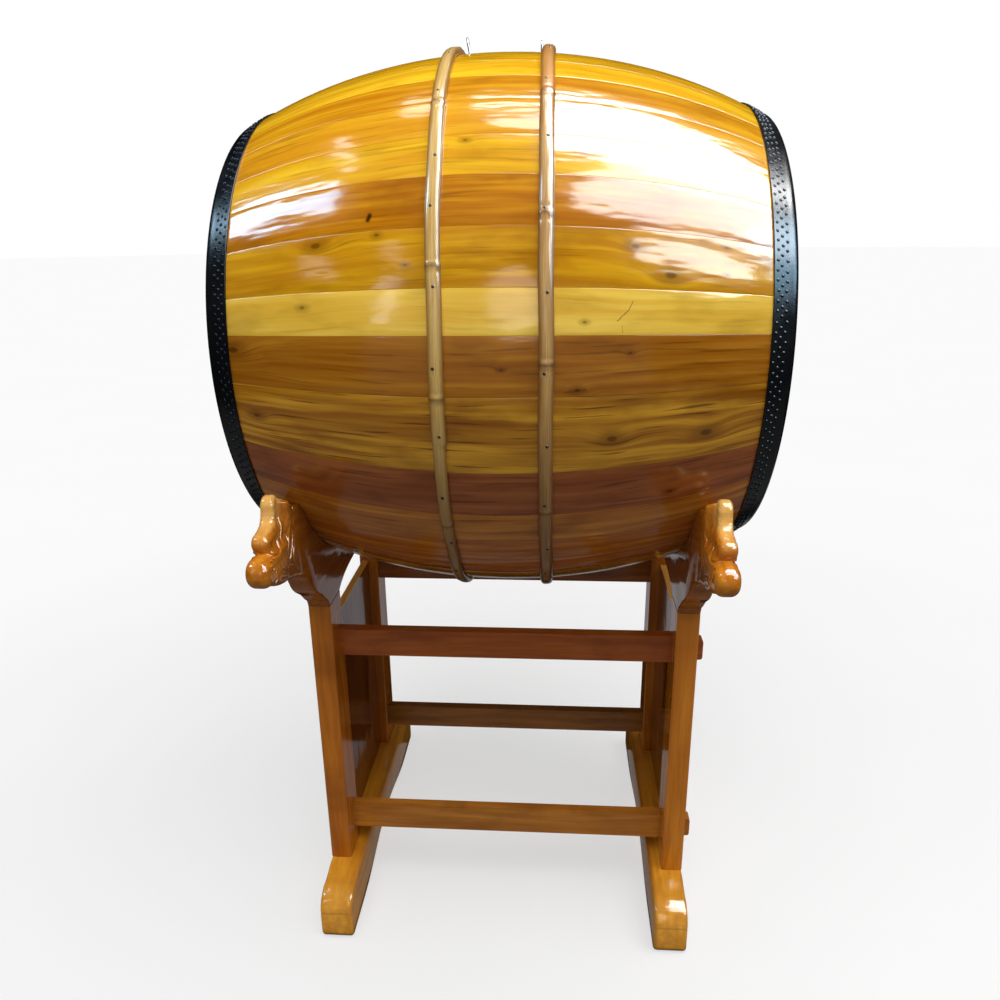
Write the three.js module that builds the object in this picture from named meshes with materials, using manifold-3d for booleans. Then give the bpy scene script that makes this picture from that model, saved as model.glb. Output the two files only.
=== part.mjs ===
// Barrel drum lying in a stand whose cradle beams end in carved dragon heads.
// Millimetres, +Z up, the drum's axis along X, the origin on the floor under the drum's middle.
import * as THREE from 'three';
import { mergeVertices } from 'three/addons/utils/BufferGeometryUtils.js';
import Module from 'manifold-3d';

const wasm = await Module();
wasm.setup();

// Touching pieces keep this gap.
const GAP = 0.3;

// Drum shell
const BELLY_R = 500;
const SHELL_END_R = 389;
const SHELL_HALF = 463;
const WALL = 28;
const END_CHAMFER = 6;
const AXIS_OVER_POSTS = 503;
// Share of the shell's drop that grows with the fourth power of x, which pulls the ends in late.
const LATE_DROP = 0.1;
const STAVE_STEPS = 8;
// Seams in degrees above the front: the first, then the widths of the staves below it that differ by hand.
const FIRST_SEAM = 67.1;
const SEEN_STAVES = [8.1, 8.2, 9.0, 8.3, 9.3, 10.2, 7.8, 10.3, 14.5, 10.3, 8.0, 8.3, 8.4];
const HIDDEN_STAVES = 23;
const HIDDEN_SPREAD = 0.07;

// Drumheads
const HIDE = 2;
const SKIRT = 44;
const HEAD_GAP = 0.4;
const ROUND_SIDES = 48;

// Cane hoops
const HOOP_X = 81.5;
const HOOP_WIDTH = 24;
const HOOP_HEIGHT = 13.5;
const HOOP_SIDE = 6;
const HOOP_CROWN = 11;

// Iron eyes at the crown
const EYE_WIRE = 4;
const EYE_SPAN = 24;
const EYE_APART = 2.2;
const EYE_HEIGHTS = { left: 35, right: 27 };
const EYE_LEAN = 7;

// Stand: side frames. The whole stand is a little off the drum's middle.
const STAND_SHIFT = -4.5;
const FRAME_X = 361;
const POST_WIDTH = 44;
const POST_DEPTH = 80;
const POST_FRONT = 250;
const POST_TOP = 724;
const POST_CHAMFER = 3;
const PANEL = 15;
const PANEL_INSET = 7;
const PANEL_TOP = 645;

// Stand: feet
const FOOT_WIDTH = 68;
const FOOT_HALF = 362;
const FOOT_TOP = 111;
const FOOT_DIP = 8;
const TOE_CREASE = 62;
const TOE_ROUND = 14;
const ARCH_HALF = 255;
const ARCH_RISE = 32;

// Stand: cross rails
const RAIL_HEIGHT = 58;
const RAIL_THICK = 24;
const RAIL_FRONT = 207;
const RAIL_TOPS = { top: 651, bottom: 218 };
const TENON_DROP = 7;
const TENON_PROUD = 18;
const TENON_BLIND = 30;
const TENON_ROUND = 6;

// Stand: cradle beams and their dragon heads
const BEAM_RISE = 24;
const SEAT_TOP_DROP = 259;
const SEAT_GAP = 0.7;
const SEAT_STOCK = 12;
const RELIEF = 3;
const HEAD_INSET = 9;
const HEAD_PROUD = 3;
const FOOT_EDGE = 3;

const AXIS_Z = POST_TOP + AXIS_OVER_POSTS;

const WOOD_LOOK = { roughness: 0.25, metalness: 0 };
const looks = {
  stave: new THREE.MeshStandardMaterial({ color: 0xc07818, ...WOOD_LOOK }),
  hide: new THREE.MeshStandardMaterial({ color: 0x101316, roughness: 0.3, metalness: 0 }),
  cane: new THREE.MeshStandardMaterial({ color: 0xb98f4a, roughness: 0.4, metalness: 0 }),
  iron: new THREE.MeshStandardMaterial({ color: 0x55585c, roughness: 0.5, metalness: 0.8 }),
  stand: new THREE.MeshStandardMaterial({ color: 0xa9601a, ...WOOD_LOOK }),
};

const group = new THREE.Group();

function add(name, geometry, look) {
  if (look === 'stand') geometry.translate(STAND_SHIFT, 0, 0);
  const mesh = new THREE.Mesh(geometry, looks[look].clone());
  mesh.name = name;
  group.add(mesh);
}

// Outer radius of the shell at x, and the radius of a round piece of flat sides that clears it.
function shellRadius(x) {
  const share = (x / SHELL_HALF) ** 2;
  return BELLY_R - (BELLY_R - SHELL_END_R) * share * (1 - LATE_DROP + LATE_DROP * share);
}

function aroundShell(x, clearance, sides = ROUND_SIDES) {
  return (shellRadius(x) + clearance) / Math.cos(Math.PI / sides);
}

// A closed solid through rings of equal length, each convex and running the same way round.
function loft(rings) {
  const count = rings[0].length;
  const last = (rings.length - 1) * count;
  const index = [];
  for (let i = 0; i < rings.length - 1; i++) {
    for (let j = 0; j < count; j++) {
      const a = i * count + j;
      const b = i * count + ((j + 1) % count);
      index.push(a, b, a + count, b, b + count, a + count);
    }
  }
  for (let j = 1; j < count - 1; j++) {
    index.push(0, j + 1, j);
    index.push(last, last + j, last + j + 1);
  }
  const geometry = new THREE.BufferGeometry();
  geometry.setAttribute('position', new THREE.Float32BufferAttribute(rings.flat().flatMap((p) => p.toArray()), 3));
  geometry.setIndex(index);
  return geometry;
}

// Cuts and joins
function solid(geometry) {
  const bare = geometry.clone();
  bare.deleteAttribute('normal');
  bare.deleteAttribute('uv');
  const merged = mergeVertices(bare, 1e-4);
  return new wasm.Manifold(new wasm.Mesh({
    numProp: 3,
    vertProperties: new Float32Array(merged.attributes.position.array),
    triVerts: new Uint32Array(merged.index.array),
  }));
}

function geometryOf(manifold) {
  const mesh = manifold.getMesh();
  const geometry = new THREE.BufferGeometry();
  geometry.setAttribute('position', new THREE.BufferAttribute(Float32Array.from(mesh.vertProperties), 3));
  geometry.setIndex(new THREE.BufferAttribute(Uint32Array.from(mesh.triVerts), 1));
  return geometry;
}

// An outline drawn in the (y, z) plane, sawn out of a board that spans x from low to high.
function sawn(shape, low, high, edge = 0) {
  const geometry = new THREE.ExtrudeGeometry(shape, {
    depth: high - low - 2 * edge,
    steps: 1,
    bevelEnabled: edge > 0,
    bevelThickness: edge,
    bevelSize: edge,
    bevelOffset: -edge,
    bevelSegments: 1,
    curveSegments: 8,
  });
  geometry.translate(0, 0, low + edge);
  return geometry.applyMatrix4(new THREE.Matrix4().makeBasis(
    new THREE.Vector3(0, 1, 0),
    new THREE.Vector3(0, 0, 1),
    new THREE.Vector3(1, 0, 0),
  ));
}

// An outline in the (x, z) plane, of a board that spans y from low to high.
function sawnAcross(shape, low, high) {
  const geometry = new THREE.ExtrudeGeometry(shape, {
    depth: high - low,
    steps: 1,
    bevelEnabled: false,
    curveSegments: 3,
  });
  geometry.translate(0, 0, -high);
  return geometry.applyMatrix4(new THREE.Matrix4().makeBasis(
    new THREE.Vector3(1, 0, 0),
    new THREE.Vector3(0, 0, 1),
    new THREE.Vector3(0, -1, 0),
  ));
}

// A profile of (x, radius) points turned about the drum's axis; side is 1 for the right end, -1 for the left.
function turned(profile, side) {
  const points = profile.map(([x, r]) => new THREE.Vector2(r, x));
  const geometry = new THREE.LatheGeometry(points, ROUND_SIDES);
  geometry.rotateZ(-side * Math.PI / 2);
  geometry.translate(0, 0, AXIS_Z);
  return geometry;
}

// Shell
function staveRing(x, top, bottom, drop) {
  const outer = shellRadius(x) - drop;
  const inner = shellRadius(x) - WALL;
  const at = (radius, angle) => new THREE.Vector3(
    x,
    -radius * Math.cos(angle),
    AXIS_Z + radius * Math.sin(angle),
  );
  const trim = (radius) => GAP / 2 / radius;
  return [
    at(outer, top - trim(outer)),
    at(outer, (top + bottom) / 2),
    at(outer, bottom + trim(outer)),
    at(inner, bottom + trim(inner)),
    at(inner, top - trim(inner)),
  ];
}

function stave(top, bottom) {
  const rings = [staveRing(-SHELL_HALF, top, bottom, END_CHAMFER)];
  const reach = SHELL_HALF - END_CHAMFER;
  for (let i = 0; i <= STAVE_STEPS; i++) {
    rings.push(staveRing(reach * (2 * i / STAVE_STEPS - 1), top, bottom, 0));
  }
  rings.push(staveRing(SHELL_HALF, top, bottom, END_CHAMFER));
  return loft(rings);
}

function staveWidths() {
  const seen = SEEN_STAVES.reduce((sum, width) => sum + width, 0);
  const share = (360 - seen) / HIDDEN_STAVES;
  const widths = [...SEEN_STAVES];
  for (let i = 0; i < HIDDEN_STAVES; i++) {
    widths.push(share * (1 + HIDDEN_SPREAD * Math.sin(2 * Math.PI * 7 * i / HIDDEN_STAVES)));
  }
  return widths;
}

let seam = FIRST_SEAM;
staveWidths().forEach((width, i) => {
  const top = THREE.MathUtils.degToRad(seam);
  seam -= width;
  add(`stave_${String(i + 1).padStart(2, '0')}`, stave(top, THREE.MathUtils.degToRad(seam)), 'stave');
});

// Drumheads: a flat skin, a rounded rim and a skirt down the shell.
function headProfile() {
  const face = SHELL_HALF + HEAD_GAP + HIDE;
  const rim = face - HIDE - END_CHAMFER - HEAD_GAP;
  const skirtEnd = face - SKIRT;
  const endInner = aroundShell(SHELL_HALF, HEAD_GAP) - END_CHAMFER;
  const inner = (x) => aroundShell(x, HEAD_GAP);
  return [
    [face - HIDE, 0],
    [face - HIDE, endInner],
    [rim, inner(rim)],
    [skirtEnd, inner(skirtEnd)],
    [skirtEnd, inner(skirtEnd) + HIDE],
    [rim + 0.4 * HIDE, inner(rim) + HIDE],
    [face, endInner + 0.4 * HIDE],
    [face, 0],
  ];
}

add('head_left', turned(headProfile(), -1), 'hide');
add('head_right', turned(headProfile(), 1), 'hide');

// Hoops: half-round canes bent round the belly.
function hoopProfile() {
  const half = HOOP_WIDTH / 2;
  const seat = (x) => aroundShell(HOOP_X + x, GAP);
  const crown = seat(0) + HOOP_HEIGHT;
  return [
    [HOOP_X + half, seat(half)],
    [HOOP_X + half, seat(half) + HOOP_SIDE],
    [HOOP_X + HOOP_CROWN / 2, crown],
    [HOOP_X - HOOP_CROWN / 2, crown],
    [HOOP_X - half, seat(-half) + HOOP_SIDE],
    [HOOP_X - half, seat(-half)],
    [HOOP_X + half, seat(half)],
  ].reverse();
}

add('hoop_left', turned(hoopProfile(), -1), 'cane');
add('hoop_right', turned(hoopProfile(), 1), 'cane');

// Crown eyes: round wire bent into an arch across the staves, leaning sideways.
function crownEye(x, height, lean) {
  const base = AXIS_Z + shellRadius(x) + GAP;
  const reach = EYE_SPAN / 2;
  const shoulder = base + height - EYE_WIRE / 2 - reach;
  const bend = arc(0, shoulder, reach, 180, 0, 6);
  const corners = [[-reach, base], ...bend, [reach, base]];
  return wireThrough(corners.map(([y, z]) => new THREE.Vector3(x + lean * (z - base) / height, y, z)));
}

// Wire with mitred bends through corners that lie in an almost upright plane across the drum.
function wireThrough(corners) {
  const sides = 6;
  const radius = EYE_WIRE / 2;
  const rings = corners.map((corner, i) => {
    const before = corners[Math.max(i - 1, 0)];
    const after = corners[Math.min(i + 1, corners.length - 1)];
    const along = after.clone().sub(before).normalize();
    const across = new THREE.Vector3(0, along.z, -along.y);
    return Array.from({ length: sides }, (_, j) => {
      const angle = 2 * Math.PI * j / sides;
      return corner.clone()
        .addScaledVector(across, radius * Math.cos(angle))
        .add(new THREE.Vector3(-radius * Math.sin(angle), 0, 0));
    });
  });
  return loft(rings);
}

const eyeX = HOOP_X - HOOP_WIDTH / 2 - EYE_APART - EYE_WIRE / 2;
add('crown_eye_left', crownEye(-eyeX, EYE_HEIGHTS.left, -EYE_LEAN), 'iron');
add('crown_eye_right', crownEye(eyeX, EYE_HEIGHTS.right, 0), 'iron');

// Feet: a sledge with an arch under it and a waved toe at each end, drawn for the front half and mirrored.
function mirrored(half) {
  const front = half.map(([out, z]) => new THREE.Vector2(-out, z));
  const back = half.map(([out, z]) => new THREE.Vector2(out, z)).reverse();
  const points = [...front, ...back].filter((p, i, all) => i === 0 || p.distanceTo(all[i - 1]) > 0.01);
  if (points[0].distanceTo(points[points.length - 1]) < 0.01) points.pop();
  return new THREE.Shape(points);
}

function curve(points, pieces) {
  const spline = new THREE.SplineCurve(points.map(([out, z]) => new THREE.Vector2(out, z)));
  return spline.getPoints(pieces).map((p) => [p.x, p.y]);
}

function arc(out, z, radius, from, to, pieces) {
  return Array.from({ length: pieces + 1 }, (_, i) => {
    const angle = THREE.MathUtils.degToRad(from + (to - from) * i / pieces);
    return [out + radius * Math.cos(angle), z + radius * Math.sin(angle)];
  });
}

function footHalf() {
  const toe = FOOT_HALF;
  const steps = 6;
  const arch = Array.from({ length: steps + 1 }, (_, i) => {
    const share = i / steps;
    return [ARCH_HALF * share, ARCH_RISE * (1 + Math.cos(Math.PI * share)) / 2];
  });
  const waveStart = POST_FRONT + 10;
  const top = [
    [toe, TOE_CREASE],
    [toe - 5, TOE_CREASE + 16],
    [toe - 17, FOOT_TOP - FOOT_DIP - 10],
    [toe - 40, FOOT_TOP - FOOT_DIP],
    [(toe + waveStart) / 2 - 10, FOOT_TOP - FOOT_DIP],
    [waveStart + 15, FOOT_TOP - 2],
    [waveStart, FOOT_TOP],
  ];
  return [
    ...arch,
    ...arc(toe - TOE_ROUND, TOE_ROUND, TOE_ROUND, -90, 0, 3),
    ...curve(top, 9),
    [0, FOOT_TOP],
  ];
}

const outerFace = FRAME_X + POST_WIDTH / 2;
const innerFace = FRAME_X - POST_WIDTH / 2;

// The x span of a board of the side frames, mirrored to the left.
function span(side, near, far) {
  return side > 0 ? [near, far] : [-far, -near];
}

function foot(side) {
  return sawn(mirrored(footHalf()), ...span(side, outerFace - FOOT_WIDTH, outerFace), FOOT_EDGE);
}

add('foot_left', foot(-1), 'stand');
add('foot_right', foot(1), 'stand');

// Cross rails: the right tenon runs through its post and stands proud, the left one is blind.
function railShape(top) {
  const shoulder = innerFace - GAP;
  const low = top - RAIL_HEIGHT;
  const proud = outerFace + TENON_PROUD;
  const blind = -(innerFace + TENON_BLIND);
  const shape = new THREE.Shape();
  shape.moveTo(-shoulder, low);
  shape.lineTo(shoulder, low);
  shape.lineTo(shoulder, low + TENON_DROP);
  shape.lineTo(proud - TENON_ROUND, low + TENON_DROP);
  shape.quadraticCurveTo(proud, low + TENON_DROP, proud, low + TENON_DROP + TENON_ROUND);
  shape.lineTo(proud, top - TENON_DROP - TENON_ROUND);
  shape.quadraticCurveTo(proud, top - TENON_DROP, proud - TENON_ROUND, top - TENON_DROP);
  shape.lineTo(shoulder, top - TENON_DROP);
  shape.lineTo(shoulder, top);
  shape.lineTo(-shoulder, top);
  shape.lineTo(-shoulder, top - TENON_DROP);
  shape.lineTo(blind, top - TENON_DROP);
  shape.lineTo(blind, low + TENON_DROP);
  shape.lineTo(-shoulder, low + TENON_DROP);
  shape.closePath();
  return shape;
}

for (const [level, top] of Object.entries(RAIL_TOPS)) {
  const near = -RAIL_FRONT;
  add(`rail_front_${level}`, sawnAcross(railShape(top), near, near + RAIL_THICK), 'stand');
  add(`rail_back_${level}`, sawnAcross(railShape(top), -near - RAIL_THICK, -near), 'stand');
}

// Posts: chamfered uprights on the feet, mortised for the rails.
function post(side, end) {
  const halfX = POST_WIDTH / 2;
  const halfY = POST_DEPTH / 2;
  const c = POST_CHAMFER;
  const section = new THREE.Shape([
    [-halfX, -halfY + c], [-halfX + c, -halfY], [halfX - c, -halfY], [halfX, -halfY + c],
    [halfX, halfY - c], [halfX - c, halfY], [-halfX + c, halfY], [-halfX, halfY - c],
  ].map(([x, y]) => new THREE.Vector2(x, y)));
  const low = FOOT_TOP + GAP;
  const body = new THREE.ExtrudeGeometry(section, { depth: POST_TOP - GAP - low, steps: 1, bevelEnabled: false });
  body.translate(side * FRAME_X, end * (POST_FRONT - halfY), low);
  let result = solid(body);
  const deep = side > 0 ? 3 * POST_WIDTH : 2 * (TENON_BLIND + GAP);
  for (const top of Object.values(RAIL_TOPS)) {
    const tall = RAIL_HEIGHT - 2 * TENON_DROP + 2 * GAP;
    const mortise = new THREE.BoxGeometry(deep, RAIL_THICK + 2 * GAP, tall);
    mortise.translate(side * innerFace, end * (RAIL_FRONT - RAIL_THICK / 2), top - RAIL_HEIGHT / 2);
    result = result.subtract(solid(mortise));
  }
  return geometryOf(result);
}

for (const [sideName, side] of [['left', -1], ['right', 1]]) {
  add(`post_front_${sideName}`, post(side, -1), 'stand');
  add(`post_back_${sideName}`, post(side, 1), 'stand');
}

// Side panels between the posts, near the outer face.
function panel(side) {
  const halfY = POST_FRONT - POST_DEPTH - GAP;
  const low = FOOT_TOP + GAP;
  const tall = PANEL_TOP - low;
  const board = new THREE.BoxGeometry(PANEL, 2 * halfY, tall);
  board.translate(side * (outerFace - PANEL_INSET - PANEL / 2), 0, low + tall / 2);
  return board;
}

add('panel_left', panel(-1), 'stand');
add('panel_right', panel(1), 'stand');

// Cradle beams, drawn for the front half as (distance from the middle, z).
const seatTopZ = AXIS_Z - SEAT_TOP_DROP;
const seatStockR = shellRadius(outerFace) - SEAT_STOCK;
const seatEnd = Math.sqrt(seatStockR ** 2 - SEAT_TOP_DROP ** 2);

// Points of the neck are drawn from the top front edge of the post, points of the head from the seat's upper end.
function onNeck(points) {
  return points.map(([out, up]) => [POST_FRONT + out, POST_TOP + up]);
}

function onHead(points) {
  return points.map(([out, up]) => [seatEnd + out, seatTopZ + up]);
}

function headArc(out, up, radius, from, to, pieces) {
  return arc(seatEnd + out, seatTopZ + up, radius, from, to, pieces);
}

function underside() {
  const postBack = POST_FRONT - POST_DEPTH;
  const rise = new THREE.QuadraticBezierCurve(
    new THREE.Vector2(0, POST_TOP + BEAM_RISE),
    new THREE.Vector2(postBack * 0.75, POST_TOP + BEAM_RISE),
    new THREE.Vector2(postBack, POST_TOP),
  );
  return [...rise.getPoints(3).map((p) => [p.x, p.y]), [POST_FRONT, POST_TOP]];
}

const throat = onHead([[27, -142]]);

function neck() {
  return curve([...onNeck([[0, 0], [7, 14], [20, 24], [40, 42], [76, 68]]), ...throat], 6);
}

function seat() {
  const from = THREE.MathUtils.radToDeg(Math.atan2(-SEAT_TOP_DROP, seatEnd));
  return arc(0, AXIS_Z, seatStockR, from, -90, 5);
}

// The whole outline, head and all: throat, jaw, snout, brow, crest and the locks behind it.
function beamHalf() {
  return [
    ...underside(),
    ...neck(),
    ...curve([...throat, ...onHead([[57, -124], [110, -107], [158, -94], [182, -84]])], 4),
    ...headArc(187, -58, 26, -70, 95, 6),
    ...headArc(157, -20, 16, -40, 95, 3),
    ...curve(onHead([[153, -3], [134, 2], [119, 14], [113, 30]]), 3),
    ...headArc(101, 31, 12, 0, 170, 4),
    ...headArc(80, 23, 9, 40, 170, 2),
    ...headArc(64, 11, 8, 50, 180, 2),
    ...seat(),
  ];
}

// The beam and neck without the head, at full thickness.
function bodyHalf() {
  return [
    ...underside(),
    ...neck(),
    ...curve([...throat, ...onHead([[51, -116], [67, -78], [71, -38], [64, 11]])], 5),
    ...seat(),
  ];
}

// Relief on both faces of each head: every form is an outline sawn through the full thickness.
function leaf(points, width) {
  const spine = new THREE.SplineCurve(onHead(points).map(([out, z]) => new THREE.Vector2(out, z)));
  const pieces = 3;
  const near = [];
  const far = [];
  for (let i = 0; i <= pieces; i++) {
    const t = i / pieces;
    const p = spine.getPoint(t);
    const along = spine.getTangent(t);
    const half = width / 2 * Math.sqrt(Math.max(Math.sin(Math.PI * (0.12 + 0.8 * t)), 0));
    near.push([p.x - along.y * half, p.y + along.x * half]);
    far.push([p.x + along.y * half, p.y - along.x * half]);
  }
  return [...near, ...far.reverse()];
}

const reliefForms = [
  leaf([[83, -63], [95, -23], [103, 32]], 17),
  leaf([[75, -68], [79, -23], [81, 24]], 13),
  headArc(157, -20, 13.5, 0, 300, 5),
  headArc(187, -58, 23, 0, 300, 5),
  leaf([[79, -100], [111, -88], [149, -68]], 15),
  leaf([[103, -56], [124, -46], [141, -24]], 14),
];

function shapeOf(points, end) {
  const placed = points.map(([out, z]) => new THREE.Vector2(end * out, z));
  return new THREE.Shape(THREE.ShapeUtils.area(placed) < 0 ? placed.reverse() : placed);
}

// A cone that touches the drum's own shape at both faces of the beam, which trims the seat to the staves.
function seatCutter(side) {
  const sides = 48;
  const shift = side * STAND_SHIFT;
  const near = aroundShell(innerFace + shift, SEAT_GAP, sides);
  const far = aroundShell(outerFace + shift, SEAT_GAP, sides);
  const core = BELLY_R / 2;
  const points = [
    new THREE.Vector2(core, innerFace - POST_WIDTH),
    new THREE.Vector2(2 * near - far, innerFace - POST_WIDTH),
    new THREE.Vector2(2 * far - near, outerFace + POST_WIDTH),
    new THREE.Vector2(core, outerFace + POST_WIDTH),
    new THREE.Vector2(core, innerFace - POST_WIDTH),
  ];
  const cutter = new THREE.LatheGeometry(points, sides);
  cutter.rotateZ(-side * Math.PI / 2);
  cutter.translate(0, 0, AXIS_Z);
  return solid(cutter);
}

function cradle(side) {
  let beam = solid(sawn(mirrored(bodyHalf()), ...span(side, innerFace, outerFace)));
  const carved = [innerFace + HEAD_INSET - RELIEF, outerFace + HEAD_PROUD];
  const core = span(side, carved[0] + RELIEF, carved[1] - RELIEF);
  beam = beam.add(solid(sawn(mirrored(beamHalf()), ...core)));
  for (const end of [-1, 1]) {
    for (const form of reliefForms) {
      beam = beam.add(solid(sawn(shapeOf(form, end), ...span(side, ...carved))));
    }
  }
  return geometryOf(beam.subtract(seatCutter(side)));
}

add('cradle_left', cradle(-1), 'stand');
add('cradle_right', cradle(1), 'stand');

export default group;
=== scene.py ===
"""Barrel drum on a stand with dragon-headed cradle beams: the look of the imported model.

Metres, +Z up, the drum's axis along X.
"""

import math

import bmesh
import bpy
import numpy as np
import openvdb
from mathutils import Matrix, Quaternion, Vector


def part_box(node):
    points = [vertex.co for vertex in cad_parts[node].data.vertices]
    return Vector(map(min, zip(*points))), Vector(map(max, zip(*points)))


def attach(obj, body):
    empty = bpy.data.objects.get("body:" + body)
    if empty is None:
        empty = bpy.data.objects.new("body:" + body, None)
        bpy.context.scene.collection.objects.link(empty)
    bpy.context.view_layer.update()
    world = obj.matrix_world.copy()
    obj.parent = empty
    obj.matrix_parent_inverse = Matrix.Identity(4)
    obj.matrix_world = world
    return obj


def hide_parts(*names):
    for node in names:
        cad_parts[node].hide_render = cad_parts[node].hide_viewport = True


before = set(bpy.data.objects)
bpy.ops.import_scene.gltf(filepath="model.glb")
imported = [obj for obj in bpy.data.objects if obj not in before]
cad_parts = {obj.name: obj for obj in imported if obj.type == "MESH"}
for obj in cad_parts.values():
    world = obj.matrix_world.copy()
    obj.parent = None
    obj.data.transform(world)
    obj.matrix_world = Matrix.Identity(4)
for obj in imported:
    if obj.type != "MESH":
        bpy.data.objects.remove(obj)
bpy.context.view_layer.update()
MM = 0.001

# Shell
BELLY_R = 0.500
SHELL_END_R = 0.389
SHELL_HALF = 0.463
LATE_DROP = 0.1
WALL = 0.028
END_CHAMFER = 0.006
GAP = 0.0003
SHELL_STEPS = 36
FIRST_SEAM = 67.1
SEEN_STAVES = [8.1, 8.2, 9.0, 8.3, 9.3, 10.2, 7.8, 10.3, 14.5, 10.3, 8.0, 8.3, 8.4]
HIDDEN_STAVES = 23
HIDDEN_SPREAD = 0.07
SEAM_DEPTH = 0.0002
SEAM_WIDTH = 0.0008

# Drumheads and tacks
HIDE = 0.002
SKIRT = 0.044
HEAD_GAP = 0.0004
HEAD_FACE = SHELL_HALF + HEAD_GAP + HIDE
BLACK_RIM_R = 0.339
TACK_ROWS = [0.0065, 0.0145, 0.0225]
TACK_PITCH = 0.0155
TACK_R = 0.0031
TACK_HIGH = 0.0017
TACK_DRIFT = 0.0022
TACK_STRAY = 0.0007

# Hoops
HOOP_WIDTH = 0.024
HOOP_HEIGHT = 0.0135
NAIL_R = 0.0028
NAIL_HIGH = 0.0014
CANE_EDGE = 0.0025

# Beams, millimetres
BEAM_HALF = 22
HEAD_PROUD = 3
SEAT_DROP = 259
SEAT_OVERLAP = 12
SEAT_GAP = 0.6
POST_GAP = 0.3
POST_DEPTH = 80
SNOUT_OUT = 187
SNOUT_R = 26
CREST_UP = 24
CREST_R = 19
VOXEL = 1.5

head_low, head_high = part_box("head_left")
AXIS_Z = (head_low.z + head_high.z) / 2
post_low, post_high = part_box("post_front_left")
SIDES = ((-1, "left"), (1, "right"))


def linear(r, g, b):
    """An sRGB colour of 0-255 as linear RGBA."""
    def one(v):
        v /= 255
        return v / 12.92 if v <= 0.04045 else ((v + 0.055) / 1.055) ** 2.4
    return (one(r), one(g), one(b), 1)


# Node materials

class Shader:
    """A node material under construction."""

    def __init__(self, name):
        self.mat = bpy.data.materials.new(name)
        self.mat.use_nodes = True
        self.nodes = self.mat.node_tree.nodes
        self.links = self.mat.node_tree.links
        self.nodes.clear()
        self.out = self.nodes.new("ShaderNodeOutputMaterial")
        self.bsdf = self.nodes.new("ShaderNodeBsdfPrincipled")
        self.links.new(self.bsdf.outputs[0], self.out.inputs[0])

    def put(self, socket, value):
        if isinstance(value, bpy.types.NodeSocket):
            self.links.new(value, socket)
        elif value is not None:
            socket.default_value = value

    def set(self, **values):
        for key, value in values.items():
            self.put(self.bsdf.inputs[key.replace("_", " ")], value)

    def math(self, kind, a, b=None, c=None, clamp=False):
        node = self.nodes.new("ShaderNodeMath")
        node.operation = kind
        node.use_clamp = clamp
        for socket, value in zip(node.inputs, (a, b, c)):
            self.put(socket, value)
        return node.outputs[0]

    def length(self, vec, origin=(0, 0, 0)):
        """How far vec lies from origin."""
        node = self.nodes.new("ShaderNodeVectorMath")
        node.operation = "DISTANCE"
        self.put(node.inputs[0], vec)
        self.put(node.inputs[1], origin)
        return node.outputs["Value"]

    def attribute(self, name, value="Vector"):
        node = self.nodes.new("ShaderNodeAttribute")
        node.attribute_name = name
        return node.outputs[value]

    def object_coords(self):
        return self.nodes.new("ShaderNodeTexCoord").outputs["Object"]

    def split(self, vec):
        node = self.nodes.new("ShaderNodeSeparateXYZ")
        self.put(node.inputs[0], vec)
        return node.outputs

    def join(self, x, y, z):
        node = self.nodes.new("ShaderNodeCombineXYZ")
        for socket, value in zip(node.inputs, (x, y, z)):
            self.put(socket, value)
        return node.outputs[0]

    def noise(self, vec, scale, detail=2.0, rough=0.5):
        node = self.nodes.new("ShaderNodeTexNoise")
        self.put(node.inputs["Vector"], vec)
        node.inputs["Scale"].default_value = scale
        node.inputs["Detail"].default_value = detail
        node.inputs["Roughness"].default_value = rough
        return node.outputs["Fac"]

    def patches(self, along, across, per_along, per_across, deep, detail=2.0, rough=0.5):
        """Noise with a scale of its own along and across the grain."""
        a = self.math("MULTIPLY", along, per_along)
        b = self.math("MULTIPLY", across, per_across)
        return self.noise(self.join(a, b, deep), 1.0, detail, rough)

    def between(self, value, low, high, to_low=0.0, to_high=1.0):
        """Eases from to_low to to_high while value goes from low to high."""
        node = self.nodes.new("ShaderNodeMapRange")
        node.interpolation_type = "SMOOTHSTEP"
        for socket, v in zip(node.inputs, (value, low, high, to_low, to_high)):
            self.put(socket, v)
        return node.outputs[0]

    def bell(self, share):
        """1 where share is 0, falling off like a bell."""
        return self.math("EXPONENT", self.math("MULTIPLY", self.math("POWER", share, 2.0), -1.0))

    def mix(self, fac, a, b, kind="MIX"):
        node = self.nodes.new("ShaderNodeMix")
        node.data_type = "RGBA"
        node.blend_type = kind
        self.put(node.inputs[0], fac)
        self.put(node.inputs[6], a)
        self.put(node.inputs[7], b)
        return node.outputs[2]

    def bump(self, height, strength, distance):
        node = self.nodes.new("ShaderNodeBump")
        node.inputs["Strength"].default_value = strength
        node.inputs["Distance"].default_value = distance
        self.put(node.inputs["Height"], height)
        return node.outputs[0]


def grey(v):
    return (v, v, v, 1)


def darker(colour, share):
    return tuple(share * v for v in colour[:3]) + (1,)


KNOT_SQUEEZE = 0.62


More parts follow.
